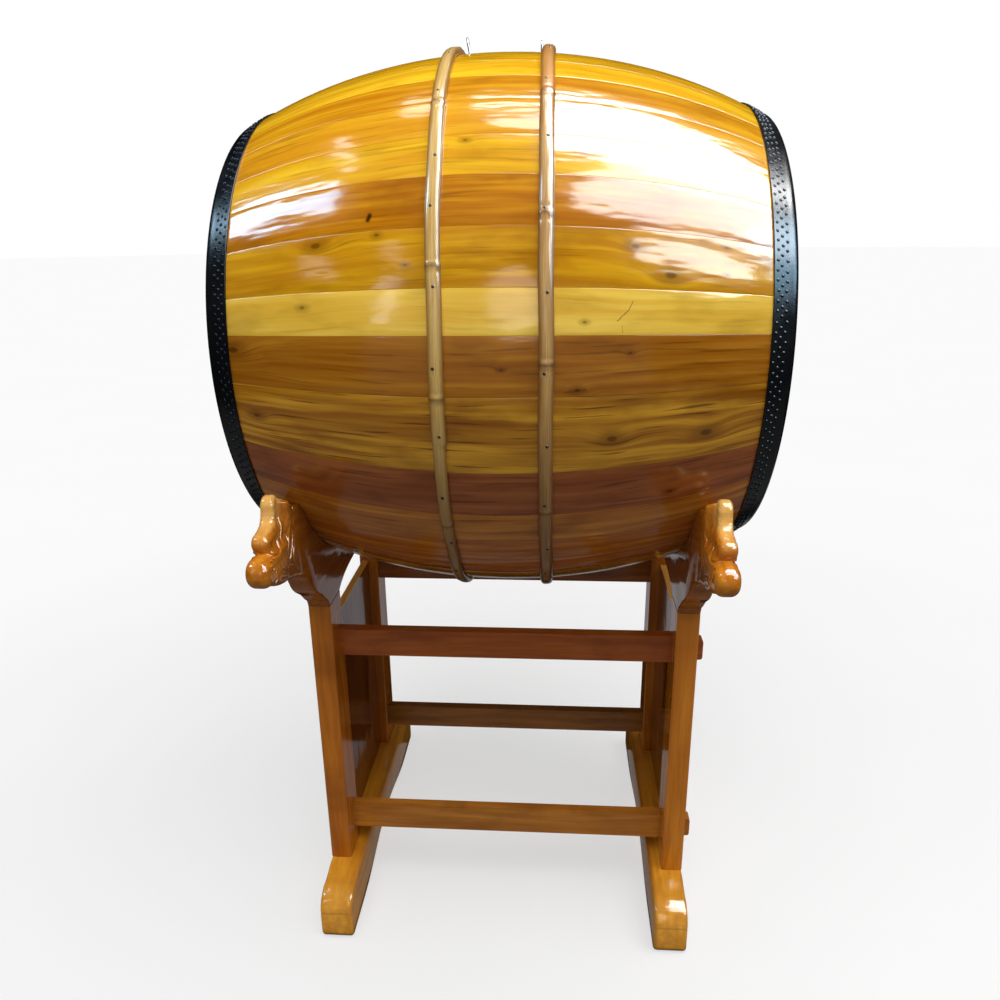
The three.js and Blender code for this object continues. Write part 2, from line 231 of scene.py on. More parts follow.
def wood(name, light, dark, vec, seed=0.0, figure=1.0, streaks=0.3, knots=(), scars=(), painted_light=None):
    """Lacquered wood. vec maps (along, across, deep) in metres.

    knots are (along, across, radius).
    scars are short cuts: (along, across) of both ends, half width, depth.
    Where given, a function paints light and shade into the colour of the whole piece by place.
    """
    s = Shader(name)
    along, across, deep = s.split(vec(s))

    def stretched(per_along, per_across, shift, detail=3.0, rough=0.6):
        below = s.math("MULTIPLY_ADD", deep, per_across, shift)
        return s.patches(along, line, per_along, per_across, below, detail, rough)

    wander = s.patches(along, across, 2.3, 10.0, seed)
    line = s.math("ADD", across, s.math("MULTIPLY", s.math("SUBTRACT", wander, 0.5), 0.05))
    cores, halos = None, None
    for at, over, size in knots:
        squeezed = s.join(s.math("MULTIPLY", along, KNOT_SQUEEZE), across, 0.0)
        away = s.length(squeezed, (KNOT_SQUEEZE * at, over, 0.0))
        near = s.bell(s.math("DIVIDE", away, size * 2.0))
        line = s.math("ADD", line, s.math("MULTIPLY", near, size * 1.5))
        core = s.between(away, size * 0.25, size * 0.6, 1.0, 0.0)
        halo = s.between(away, size * 0.5, size * 2.0, 1.0, 0.0)
        cores = core if cores is None else s.math("MAXIMUM", cores, core)
        halos = halo if halos is None else s.math("MAXIMUM", halos, halo)
    broad = stretched(2.4, 26.0, seed)
    bands = stretched(4.2, 80.0, 2 * seed, 2.5, 0.5)
    fibres = stretched(13.0, 560.0, 3 * seed, 2.0)
    flecks = stretched(7.5, 190.0, seed + 7.7, 2.0, 0.45)
    cloud = s.patches(along, across, 6.5, 17.0, seed + 3.1, 3.5, 0.6)
    colour = s.mix(s.between(bands, 0.5 - 0.36 / figure, 0.5 + 0.36 / figure), dark, light)
    colour = s.mix(s.between(broad, 0.44, 0.68, 0.0, 0.6), colour, dark)
    colour = s.mix(s.between(cloud, 0.47, 0.72, 0.0, 0.55), colour, darker(dark, 0.66))
    colour = s.mix(s.between(flecks, 0.6, 0.7, 0.0, streaks), colour, darker(dark, 0.3))
    colour = s.mix(s.between(fibres, 0.3, 0.75, 0.0, 0.12), colour, darker(dark, 0.6))
    if halos is not None:
        colour = s.mix(s.math("MULTIPLY", halos, 0.55), colour, darker(dark, 0.5))
        colour = s.mix(s.math("MULTIPLY", cores, 0.7), colour, darker(dark, 0.2))
    for a0, c0, a1, c1, half, depth in scars:
        ua, uc = a1 - a0, c1 - c0
        size = ua * ua + uc * uc
        da, dc = s.math("SUBTRACT", along, a0), s.math("SUBTRACT", across, c0)
        t = s.math("MULTIPLY_ADD", da, ua / size, s.math("MULTIPLY", dc, uc / size), clamp=True)
        ragged = s.math("MULTIPLY", s.math("SUBTRACT", flecks, 0.5), 0.004)
        ea = s.math("SUBTRACT", da, s.math("MULTIPLY", t, ua))
        ec = s.math("ADD", s.math("SUBTRACT", dc, s.math("MULTIPLY", t, uc)), ragged)
        away = s.length(s.join(ea, ec, 0.0))
        colour = s.mix(s.between(away, 0.2 * half, half, depth, 0.0), colour, darker(dark, 0.08))
    # painted light and painted shade, where given, go on last
    if painted_light:
        colour = painted_light(s, colour)
    swell = s.patches(along, across, 5.0, 16.0, seed, 3.0, 0.55)
    s.set(Base_Color=colour, Roughness=s.between(fibres, 0.2, 0.8, 0.37, 0.49))
    s.set(Normal=s.bump(fibres, 0.12, 0.0004), Coat_Normal=s.bump(swell, 0.26, 0.010))
    s.set(Coat_Weight=1.0, Coat_Roughness=0.12, Coat_IOR=1.42, Specular_IOR_Level=0.0)
    return s.mat


def stave_vec(s):
    return s.attribute("grain")


def axes(order):
    """Object coordinates reordered so that the grain runs along the first letter."""
    def vec(s):
        parts = dict(zip("xyz", s.split(s.object_coords())))
        return s.join(*[parts[letter] for letter in order])
    return vec


# Mesh helpers

def make(name, points, faces, look, replaced=(), angle=35, attributes=None):
    mesh = bpy.data.meshes.new(name)
    mesh.from_pydata([tuple(p) for p in points], [], faces)
    mesh.validate()
    mesh.materials.append(look)
    mesh.polygons.foreach_set("use_smooth", [True] * len(mesh.polygons))
    mesh.set_sharp_from_angle(angle=math.radians(angle))
    for key, values in (attributes or {}).items():
        values = np.asarray(values, dtype=np.float32)
        kind = "FLOAT_VECTOR" if values.ndim == 2 else "FLOAT"
        layer = mesh.attributes.new(key, kind, "POINT")
        layer.data.foreach_set("vector" if values.ndim == 2 else "value", values.ravel())
    obj = bpy.data.objects.new(name, mesh)
    bpy.context.collection.objects.link(obj)
    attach(obj, "root")
    if replaced:
        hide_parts(*replaced)
    return obj


def loft_faces(rings, count, caps=True, wrap=False):
    """Quads between closed rings of count points each, numbered one after another."""
    faces = []
    last = rings if wrap else rings - 1
    for i in range(last):
        a, b = i * count, ((i + 1) % rings) * count
        for j in range(count):
            k = (j + 1) % count
            faces.append((a + j, a + k, b + k, b + j))
    if caps and not wrap:
        faces.append(tuple(reversed(range(count))))
        faces.append(tuple((rings - 1) * count + j for j in range(count)))
    return faces


def outward(obj):
    """Turns the faces of a closed mesh outward."""
    b = bmesh.new()
    b.from_mesh(obj.data)
    bmesh.ops.recalc_face_normals(b, faces=b.faces)
    b.to_mesh(obj.data)
    b.free()
    return obj


def shell_radius(x):
    """The shell's outer radius, belly to end, along a curve that drops a little faster late."""
    share = (x / SHELL_HALF) ** 2
    return BELLY_R - (BELLY_R - SHELL_END_R) * share * (1 - LATE_DROP + LATE_DROP * share)


# Staves

def stave_widths():
    share = (360 - sum(SEEN_STAVES)) / HIDDEN_STAVES
    hidden = [share * (1 + HIDDEN_SPREAD * math.sin(2 * math.pi * 7 * i / HIDDEN_STAVES))
              for i in range(HIDDEN_STAVES)]
    return SEEN_STAVES + hidden


def stave(name, top, bottom, look, replaced):
    """A bulged stave between two angles, with eased edges along its seams."""
    xs = [-SHELL_HALF, -SHELL_HALF + END_CHAMFER]
    xs += [(SHELL_HALF - END_CHAMFER) * (2 * i / SHELL_STEPS - 1) for i in range(1, SHELL_STEPS)]
    xs += [SHELL_HALF - END_CHAMFER, SHELL_HALF]
    points, grain = [], []
    mid = (top + bottom) / 2
    for i, x in enumerate(xs):
        end = i in (0, len(xs) - 1)
        outer = shell_radius(x) - (END_CHAMFER if end else 0)
        inner = shell_radius(x) - WALL
        half = (top - bottom) / 2 - GAP / 2 / outer
        edge = SEAM_WIDTH / outer
        section = [
            (outer - SEAM_DEPTH, mid + half),
            (outer - 0.3 * SEAM_DEPTH, mid + half - 0.4 * edge),
            *[(outer, mid + (half - edge) * (1 - j / 3)) for j in range(7)],
            (outer - 0.3 * SEAM_DEPTH, mid - half + 0.4 * edge),
            (outer - SEAM_DEPTH, mid - half),
            (inner, mid - half),
            (inner, mid),
            (inner, mid + half),
        ]
        for r, a in section:
            points.append((x, -r * math.cos(a), AXIS_Z + r * math.sin(a)))
            grain.append((x, a * BELLY_R, r - outer))
    count = len(points) // len(xs)
    obj = make(name, points, loft_faces(len(xs), count), look, replaced, 40, {"grain": grain})
    return outward(obj)


LOOKS = {
    1: (linear(248, 206, 44), linear(226, 160, 24)),
    2: (linear(228, 172, 30), linear(190, 116, 14)),
    3: (linear(232, 176, 36), linear(208, 138, 22)),
    4: (linear(240, 194, 32), linear(214, 148, 18)),
    5: (linear(216, 150, 16), linear(172, 98, 8)),
    6: (linear(228, 174, 26), linear(190, 124, 12)),
    7: (linear(254, 216, 92), linear(236, 184, 58)),
    8: (linear(190, 128, 34), linear(150, 86, 16)),
    9: (linear(222, 164, 44), linear(154, 92, 20)),
    10: (linear(176, 102, 50), linear(128, 64, 24)),
    11: (linear(206, 136, 50), linear(152, 84, 20)),
    12: (linear(194, 116, 30), linear(144, 72, 14)),
    13: (linear(186, 112, 48), linear(134, 66, 20)),
}
FIGURE = {9: 1.7, 4: 1.2, 5: 1.3, 6: 1.2, 8: 1.2}
STREAKS = {9: 0.75, 10: 0.5, 8: 0.45, 7: 0.2, 11: 0.5, 1: 0.2}


def knot(x, degrees, size):
    """A knot by its place along the drum and its angle above the middle of the photographed side."""
    return (x, math.radians(degrees) * BELLY_R, size)


def scar(x0, degrees0, x1, degrees1, half, depth=0.45):
    """A short cut between two such places."""
    return (x0, math.radians(degrees0) * BELLY_R, x1, math.radians(degrees1) * BELLY_R, half, depth)


KNOTS = {
    4: [knot(-0.040, 40.5, 0.005), knot(0.136, 38.3, 0.009)],
    6: [knot(0.261, 16.6, 0.012), knot(0.208, 21.3, 0.008), knot(-0.262, 22.5, 0.011),
        knot(-0.166, 23.4, 0.005), knot(-0.122, 18.0, 0.004), knot(0.345, 22.6, 0.004),
        knot(0.346, 17.4, 0.004)],
    7: [knot(0.137, 8.4, 0.004), knot(-0.284, 11.4, 0.006)],
    8: [knot(-0.413, 3.2, 0.013), knot(0.128, -3.0, 0.006), knot(0.204, 3.2, 0.004),
        knot(0.017, 0.6, 0.004)],
    9: [knot(0.182, -12.3, 0.011), knot(0.329, -13.1, 0.013), knot(-0.384, -10.9, 0.008)],
    10: [knot(0.282, -26.3, 0.006)],
}
SCARS = {
    # the near-black mark on stave 5 is a small hole, its dark painted shade
    5: [scar(-0.1800, 26.2, -0.1775, 27.0, 0.0058, 0.95)],
    7: [scar(0.206, 11.9, 0.200, 10.4, 0.0012, 0.6), scar(0.200, 10.4, 0.184, 8.6, 0.0014, 0.6),
        scar(0.191, 7.8, 0.192, 6.6, 0.0009, 0.4)],
    8: [scar(0.110, -3.3, 0.140, -3.0, 0.0024, 0.35)],
}


def hidden_look(i):
    cycle = [4, 6, 8, 3, 9, 7, 11, 5, 2, 6, 12, 4]
    return LOOKS[cycle[i % len(cycle)]]


seam = FIRST_SEAM
for number, width in enumerate(stave_widths(), 1):
    top = math.radians(seam)
    seam -= width
    light, dark = LOOKS.get(number) or hidden_look(number)
    look = wood(
        f"stave wood {number:02d}", light, dark, stave_vec, seed=number * 1.7, figure=FIGURE.get(number, 1.0),
        streaks=STREAKS.get(number, 0.35), knots=KNOTS.get(number, ()), scars=SCARS.get(number, ()),
    )
    stave(f"shell_stave_{number:02d}", top, math.radians(seam), look, [f"stave_{number:02d}"])


# Turned pieces

def turned(name, profile, sides, look, replaced, angle=35):
    """A closed profile of (x, radius) turned about the drum's axis."""
    points = []
    for i in range(sides):
        a = 2 * math.pi * i / sides
        for x, r in profile:
            points.append((x, -r * math.cos(a), AXIS_Z + r * math.sin(a)))
    obj = make(name, points, loft_faces(sides, len(profile), wrap=True), look, replaced, angle)
    return outward(obj)


def hide_look():
    s = Shader("black lacquered hide")
    p = s.object_coords()
    x, y, z = s.split(p)
    from_axis = s.length(s.join(0.0, y, s.math("SUBTRACT", z, AXIS_Z)))
    mottle = s.noise(p, 26.0, 4.0, 0.6)
    pores = s.noise(p, 420.0, 2.0, 0.6)
    black = s.mix(mottle, linear(9, 10, 11), linear(20, 21, 23))
    face = s.mix(s.noise(p, 7.0, 5.0, 0.6), linear(214, 196, 158), linear(188, 164, 120))
    face = s.mix(s.between(pores, 0.3, 0.75, 0.0, 0.35), face, linear(160, 130, 88))
    ragged = s.math("ADD", from_axis, s.math("MULTIPLY", mottle, 0.004))
    inside = s.between(ragged, BLACK_RIM_R - 0.001, BLACK_RIM_R + 0.001, 1.0, 0.0)
    outer_side = s.between(s.math("ABSOLUTE", x), SHELL_HALF + 0.0007, SHELL_HALF + 0.0011)
    on_face = s.math("MULTIPLY", inside, outer_side)
    rough = s.math("ADD", s.between(mottle, 0.2, 0.8, 0.16, 0.26), s.math("MULTIPLY", on_face, 0.3))
    height = s.math("ADD", s.math("MULTIPLY", pores, 0.4), mottle)
    s.set(Base_Color=s.mix(on_face, black, face), Roughness=rough, IOR=1.34)
    s.set(Normal=s.bump(height, 0.25, 0.0012))
    return s.mat


def iron_look(name, dark, light, rough=0.42):
    s = Shader(name)
    p = s.object_coords()
    speck = s.noise(p, 260.0, 4.0, 0.6)
    s.set(Base_Color=s.mix(speck, dark, light), Metallic=0.9, Normal=s.bump(speck, 0.2, 0.0004))
    s.set(Roughness=s.between(speck, 0.3, 0.7, rough - 0.1, rough + 0.12))
    return s.mat


hide = hide_look()
tack_iron = iron_look("blackened tack iron", linear(20, 22, 26), linear(46, 50, 56), 0.3)
nail_iron = iron_look("dark nail iron", linear(38, 34, 32), linear(76, 70, 66))
eye_iron = iron_look("bare iron wire", linear(112, 112, 112), linear(158, 158, 156), 0.35)


def head_profile(side):
    """(x, radius) round the section of a stretched hide: inside, skirt, rounded rim and face."""
    def inner(x):
        return shell_radius(x) + HEAD_GAP

    face = HEAD_FACE
    rim = SHELL_HALF - END_CHAMFER
    start = face - SKIRT
    end = shell_radius(SHELL_HALF) - END_CHAMFER + HEAD_GAP
    profile = [(face - HIDE, 0.004), (face - HIDE, end)]
    profile.append((rim, inner(rim)))
    profile += [(start + (rim - start) * t, inner(start + (rim - start) * t)) for t in (0.66, 0.33, 0.0)]
    profile += [(start, inner(start) + 0.6 * HIDE), (start + 0.0008, inner(start) + HIDE)]
    profile += [(start + (rim - start) * t, inner(start + (rim - start) * t) + HIDE) for t in (0.33, 0.66)]
    corner = Vector((face, inner(rim) + HIDE))
    before = Vector((rim - 0.004, inner(rim - 0.004) + HIDE))
    after = Vector((face, end - 0.002))
    for i in range(7):
        t = i / 6
        p = (1 - t) ** 2 * before + 2 * t * (1 - t) * corner.lerp((before + after) / 2, 0.25) + t * t * after
        profile.append((p.x, p.y))
    profile += [(face, 0.34), (face, 0.2), (face, 0.004)]
    return [(side * x, r) for x, r in profile]


for side, word in SIDES:
    turned(f"skin_{word}", head_profile(side), 192, hide, [f"head_{word}"], 60)


def dome(centre, out, radius, high, rings=3, sides=8):
    """Points and faces of a low dome that stands on a surface whose normal is out."""
    n = Vector(out).normalized()
    u = n.orthogonal().normalized()
    v = n.cross(u)
    points = []
    for i in range(rings):
        t = math.pi / 2 * i / rings
        for j in range(sides):
            a = 2 * math.pi * (j + 0.5 * (i % 2)) / sides
            points.append(Vector(centre) + n * (high * math.sin(t)) + (u * math.cos(a) + v * math.sin(a))
                          * (radius * math.cos(t)))
    points.append(Vector(centre) + n * high)
    points.append(Vector(centre) - n * 0.3 * high)
    faces = loft_faces(rings, sides, caps=False)
    top, foot = len(points) - 2, len(points) - 1
    for j in range(sides):
        k = (j + 1) % sides
        faces.append(((rings - 1) * sides + j, (rings - 1) * sides + k, top))
        faces.append((k, j, foot))
    return points, faces


def studded(name, places, radius, high, look):
    """One mesh of many domes; places are (point, normal)."""
    points, faces = [], []
    for centre, out in places:
        p, f = dome(centre, out, radius, high)
        base = len(points)
        points += p
        faces += [tuple(base + i for i in face) for face in f]
    return outward(make(name, points, faces, look, (), 60))


def on_shell(x, a, lift):
    """A point that stands lift above the shell, and the shell's normal there."""
    r = shell_radius(x) + lift
    slope = (shell_radius(x + 1e-4) - shell_radius(x - 1e-4)) / 2e-4
    return ((x, -r * math.cos(a), AXIS_Z + r * math.sin(a)), (-slope, -math.cos(a), math.sin(a)))


rng = np.random.default_rng(4)
for side, word in SIDES:
    places = []
    start = HEAD_FACE - SKIRT
    for row, offset in enumerate(TACK_ROWS):
        count = round(2 * math.pi * shell_radius(start) / TACK_PITCH)
        for i in range(count):
            a = 2 * math.pi * (i + 0.5 * (row % 2)) / count + rng.normal(0, TACK_DRIFT)
            x = start + offset + rng.normal(0, TACK_STRAY)
            places.append(on_shell(side * x, a, HEAD_GAP + HIDE - 0.0002))
    studded(f"tacks_{word}", places, TACK_R, TACK_HIGH, tack_iron)


# Cane hoops

# Where each cane lies: x at the bottom and at the crown.
HOOP_LEAN = {"left": (-0.0765, -0.0860), "right": (0.0835, 0.0790)}
HOOP_NODES = {
    "left": [118, 83, 49.1, 17.4, -4.2, -31, -58, -92, -128, -163, 152],
    "right": [121, 88, 51.5, 25.8, 1.6, -27, -55, -88, -121, -158, 155],
}
HOOP_NAILS = {
    "left": [69, 52, 36.4, 27.2, 14.0, 1.0, -10.7, -23.4, -36, -49, 84, 99],
    "right": [72, 55, 40, 26.5, 13.0, 0.2, -12.4, -25, -38, -50, 86, 100],
}


# Degrees from the photographed side up over the crown: the left cane's lap, the right cane's brown part.
LAP_AT = -12.6
BROWNED = (51.5, 125)
RING_ROOM = 0.0012


def cane_look(name, light, mid, dark):
    s = Shader(name)
    along, across, deep = s.split(s.attribute("grain"))
    ring = s.attribute("ring", "Fac")
    upper = s.attribute("upper", "Fac")
    fine = s.patches(along, across, 12.0, 700.0, s.math("MULTIPLY", deep, 700.0), 3.0, 0.6)
    blotch = s.patches(along, across, 7.0, 90.0, 0.0, 3.0, 0.6)
    side = s.between(s.math("ABSOLUTE", across), 0.004, 0.0115)
    colour = s.mix(s.between(fine, 0.25, 0.75), mid, light)
    colour = s.mix(s.between(blotch, 0.45, 0.72, 0.0, 0.8), colour, mid)
    colour = s.mix(s.math("MULTIPLY", side, 0.75), colour, dark)
    browned = s.math("MULTIPLY", upper, s.between(blotch, 0.3, 0.6, 0.4, 0.8))
    colour = s.mix(browned, colour, linear(190, 128, 56))
    # painted shade, with older varnish: the cane darkens on its lower half by the shade attribute
    underside = s.mix(fine, linear(88, 52, 24), linear(124, 82, 40))
    colour = s.mix(s.attribute("shade", "Fac"), colour, underside)
    colour = s.mix(s.math("MULTIPLY", ring, 0.7, clamp=True), colour, linear(84, 46, 16))
    s.set(Base_Color=colour, Roughness=s.between(fine, 0.2, 0.8, 0.34, 0.46))
    s.set(Normal=s.bump(fine, 0.2, 0.0005))
    s.set(Coat_Weight=0.7, Coat_Roughness=0.12, Coat_IOR=1.42, Specular_IOR_Level=0.1)
    return s.mat


def cane_profile(width, high):
    """(x, lift) of a half-round cane, flat underneath."""
    half = width / 2
    profile = [(-half + 0.001, 0.0)]
    for i in range(11):
        t = math.pi * (1 - i / 10)
        c, s = math.cos(t), math.sin(t)
        lift = CANE_EDGE + (high - CANE_EDGE) * s ** 0.8
        profile.append((half * math.copysign(abs(c) ** 0.75, c), lift))
    profile.append((half - 0.001, 0.0))
    return profile


def hoop_x(word, a):
    """The hoops stand a little askew: each leans toward -X at the crown."""
    low, high = HOOP_LEAN[word]
    return low + (high - low) * (0.5 + 0.5 * math.sin(a)) ** 1.6


def angle_from(degrees, other):
    """The signed angle from other to degrees, between -180 and 180."""
    return (degrees - other + 180) % 360 - 180


def hoop(word, seed, look):
    """A split cane with raised rings; the left one is thinner past its lapped end."""
    steps = 960
    points, grain, rings, upper, shade = [], [], [], [], []
    draw = np.random.default_rng(seed)
    waves = [(draw.uniform(0.0002, 0.0006), k, draw.uniform(0, 6.28)) for k in (3, 5, 9, 14)]
    for i in range(steps):
        a = 2 * math.pi * i / steps
        degrees = math.degrees(a)
        near = math.radians(min(abs(angle_from(degrees, n)) for n in HOOP_NODES[word])) * BELLY_R
        swell = 0.0012 * math.exp(-(near / 0.005) ** 2) - 0.0006 * math.exp(-((near - 0.009) / 0.003) ** 2)
        dark = math.exp(-(near / 0.0028) ** 2)
        drift = sum(swing * math.sin(k * a + phase) for swing, k, phase in waves)
        width = HOOP_WIDTH - RING_ROOM + 1.2 * swell
        lift = HOOP_HEIGHT - RING_ROOM + swell
        if word == "left" and angle_from(degrees, LAP_AT) < 0:
            width -= 0.0030
            drift -= 0.0013
            lift -= 0.0008
        middle = hoop_x(word, a) + drift
        for dx, up in cane_profile(width, lift):
            x = middle + dx
            r = max(shell_radius(x), shell_radius(middle) - 0.004) + 0.0008 + up
            points.append((x, -r * math.cos(a), AXIS_Z + r * math.sin(a)))
            grain.append((a * BELLY_R, dx, up))
            rings.append(dark)
            upper.append(1.0 if word == "right" and BROWNED[0] < degrees < BROWNED[1] else 0.0)
            # shade: painted shade and older varnish that darken the lower half of the cane
            shade.append(0.8 * min(max((-0.05 - math.sin(a)) / 0.55, 0), 1))
    faces = loft_faces(steps, len(points) // steps, wrap=True)
    marks = {"grain": grain, "ring": rings, "upper": upper, "shade": shade}
    return outward(make(f"cane_hoop_{word}", points, faces, look, [f"hoop_{word}"], 50, marks))


for word, seed, *shades in (
    ("left", 10, (220, 190, 118), (190, 146, 74), (118, 76, 28)),
    ("right", 12, (206, 170, 106), (172, 124, 62), (100, 60, 24)),
):
    hoop(word, seed, cane_look(f"pale cane {word}", *[linear(*shade) for shade in shades]))
places = []
for word in ("left", "right"):
    for k, degrees in enumerate(HOOP_NAILS[word]):
        a = math.radians(degrees)
        places.append(on_shell(hoop_x(word, a) + (-0.002 if k % 2 else 0.002), a, HOOP_HEIGHT - 0.0008))
studded("hoop_nails", places, NAIL_R, NAIL_HIGH, nail_iron)


# Crown eyes

WIRE_R = 0.00185


def tube(name, path, radius, look, replaced, sides=14):
    """A round wire along a path that lies square to X, or nearly so."""
    points = []
    for i, p in enumerate(path):
        along = (path[min(i + 1, len(path) - 1)] - path[max(i - 1, 0)]).normalized()
        across = Vector((1, 0, 0))
        up = along.cross(across).normalized()
        for j in range(sides):
            a = 2 * math.pi * j / sides
            points.append(p + (across * math.cos(a) + up * math.sin(a)) * radius)
    return outward(make(name, points, loft_faces(len(path), sides), look, replaced, 50))


for word, lean in (("left", 1), ("right", 0)):
    low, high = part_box(f"crown_eye_{word}")
    foot_x = high.x - WIRE_R if lean else (low.x + high.x) / 2
    top_x = low.x + WIRE_R if lean else foot_x
    reach = (high.y - low.y) / 2 - 0.002
    shoulder = high.z - WIRE_R - reach
    flat_path = [(-reach, low.z + 0.0002 + (shoulder - low.z) * i / 4) for i in range(4)]
    flat_path += [(-reach * math.cos(math.pi * i / 16), shoulder + reach * math.sin(math.pi * i / 16))
                  for i in range(17)]
    flat_path += [(reach, low.z + 0.0002 + (shoulder - low.z) * (3 - i) / 4) for i in range(4)]
    path = [Vector((foot_x + (top_x - foot_x) * (z - low.z) / (high.z - low.z), y, z)) for y, z in flat_path]
    tube(f"wire_eye_{word}", path, WIRE_R, eye_iron, [f"crown_eye_{word}"])


# Stand

def stand_wood(name, order, seed, light, dark, painted_light=None):
    return wood(name, light, dark, axes(order), seed=seed, figure=0.8, streaks=0.2, painted_light=painted_light)


def rounded(node, look, width):
    """Gives a CAD node worked edges and a better material."""
    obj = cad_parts[node]
    flat = obj.modifiers.new("merge", "DECIMATE")
    flat.decimate_type = "DISSOLVE"
    flat.angle_limit = math.radians(1)
    edge = obj.modifiers.new("edge", "BEVEL")
    edge.width = width
    edge.segments = 3
    edge.limit_method = "ANGLE"
    edge.angle_limit = math.radians(30)
    for place in obj.material_slots:
        place.material = look


def panel_lit_edges(s, colour):
    """Painted light: the panels' top edges are painted paler, a painted highlight where light falls on them.
    """
    z = s.split(s.object_coords())[2]
    under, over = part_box("panel_left")[1].z - 0.003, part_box("post_front_left")[1].z
    edge = s.math("MULTIPLY", s.between(z, under, under + 0.0015), s.between(z, over - 0.001, over, 1.0, 0.0))
    return s.mix(s.math("MULTIPLY", edge, 0.8), colour, linear(255, 186, 84))


# The right front post is painted lighter than the left one as painted light, and the top front rail darker
# than the bottom one as painted shade under the drum.
for i, (node, order, light, dark, width) in enumerate((
    ("post_front_left", "zyx", (210, 126, 32), (160, 84, 14), 0.0015),
    ("post_back_left", "zyx", (196, 118, 34), (150, 80, 18), 0.0015),
    ("post_front_right", "zyx", (224, 142, 42), (176, 98, 20), 0.0015),
    ("post_back_right", "zyx", (196, 118, 34), (150, 80, 18), 0.0015),
    ("rail_front_top", "xzy", (180, 98, 38), (138, 66, 22), 0.002),
    ("rail_back_top", "xzy", (154, 92, 46), (112, 60, 26), 0.002),
    ("rail_front_bottom", "xzy", (202, 132, 50), (154, 90, 28), 0.002),
    ("rail_back_bottom", "xzy", (168, 110, 50), (122, 74, 28), 0.002),
    ("panel_left", "zyx", (140, 78, 28), (102, 50, 16), 0.001),
    ("panel_right", "zyx", (140, 78, 28), (102, 50, 16), 0.001),
)):
    # the panels get a painted highlight along their top edges
    painted_light = panel_lit_edges if node.startswith("panel") else None
    rounded(node, stand_wood(f"wood of {node}", order, 2.3 + i, linear(*light), linear(*dark), painted_light), width)


def smooth_curve(points, pieces):
    """Catmull-Rom through points, as a list of pieces+1 points per span."""
    pts = [np.array(p, float) for p in points]
    pts = [2 * pts[0] - pts[1]] + pts + [2 * pts[-1] - pts[-2]]
    out = []
    for i in range(1, len(pts) - 2):
        a, b, c, d = pts[i - 1:i + 3]
        for k in range(pieces):
            t = k / pieces
            out.append(0.5 * (2 * b + (c - a) * t + (2 * a - 5 * b + 4 * c - d) * t * t
                              + (3 * b - a - 3 * c + d) * t ** 3))
    out.append(pts[-2])
    return [tuple(p) for p in out]


def arc(cx, cy, radius, start, end, pieces):
    """Points of an arc from start to end, in degrees."""
    turn = [math.radians(start + (end - start) * i / pieces) for i in range(pieces + 1)]
    return [(cx + radius * math.cos(a), cy + radius * math.sin(a)) for a in turn]


def board(name, outline, x0, x1, rounding, look, replaced):
    """An outline in (y, z) sawn from a board between x0 and x1, its edges rounded."""
    pts = np.array(outline)
    keep = [i for i in range(len(pts)) if np.hypot(*(pts[i] - pts[i - 1])) > 1e-5]
    pts = pts[keep]
    ahead = np.roll(pts, -1, 0) - pts
    ahead /= np.linalg.norm(ahead, axis=1)[:, None]
    behind = np.roll(ahead, 1, 0)
    area = 0.5 * np.sum(pts[:, 0] * np.roll(pts[:, 1], -1) - np.roll(pts[:, 0], -1) * pts[:, 1])
    sign = 1 if area > 0 else -1
    normal = np.stack([-(ahead[:, 1] + behind[:, 1]), ahead[:, 0] + behind[:, 0]], 1) * sign
    normal /= np.linalg.norm(normal, axis=1)[:, None]
    miter = 1 / np.clip(np.sum(np.stack([-ahead[:, 1], ahead[:, 0]], 1) * sign * normal, 1), 0.5, 1)
    turns = [math.pi / 2 * k / 4 for k in range(5)]
    near = [(x0 + rounding * (1 - math.sin(t)), rounding * (1 - math.cos(t))) for t in turns]
    far = [(x1 - rounding * (1 - math.sin(t)), rounding * (1 - math.cos(t))) for t in turns]
    rings = near[::-1] + far
    points = []
    for x, inset in rings:
        moved = pts + normal * (inset * miter)[:, None]
        points += [(x, y, z) for y, z in moved]
    return outward(make(name, points, loft_faces(len(rings), len(pts)), look, replaced, 40))


foot_low, foot_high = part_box("foot_left")
FOOT_HALF = foot_high.y
FOOT_TOP = foot_high.z
FOOT_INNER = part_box("foot_right")[0].x
FOOT_DIP = 0.008
FOOT_ROUNDING = 0.007
FOOT_WOOD = (linear(242, 174, 54), linear(200, 124, 28))
TOE_CREASE = 0.062
TOE_ROUND = 0.014
ARCH_HALF = 0.255
ARCH_RISE = 0.032
POST_FRONT = 0.25


def foot_outline():
    """(y, z) round a sledge foot: arched underneath, with rounded and creased toes."""
    toe = FOOT_HALF
    wave = POST_FRONT + 0.01
    half = [(ARCH_HALF * i / 24, ARCH_RISE * (1 + math.cos(math.pi * i / 24)) / 2) for i in range(25)]
    half += arc(toe - TOE_ROUND, TOE_ROUND, TOE_ROUND, -90, 0, 8)
    half.append((toe, TOE_CREASE - 0.004))
    half += [(toe - 0.0015, TOE_CREASE - 0.001), (toe - 0.0015, TOE_CREASE + 0.001)]
    half += smooth_curve([
        (toe - 0.0005, TOE_CREASE + 0.004),
        (toe - 0.005, TOE_CREASE + 0.016),
        (toe - 0.017, FOOT_TOP - FOOT_DIP - 0.010),
        (toe - 0.040, FOOT_TOP - FOOT_DIP - 0.0005),
        ((toe + wave) / 2 - 0.010, FOOT_TOP - FOOT_DIP),
        (wave + 0.015, FOOT_TOP - 0.002),
        (wave, FOOT_TOP - 0.0002),
    ], 8)
    half.append((0.0, FOOT_TOP))
    other = [(-y, z) for y, z in reversed(half[1:-1])]
    return half + other


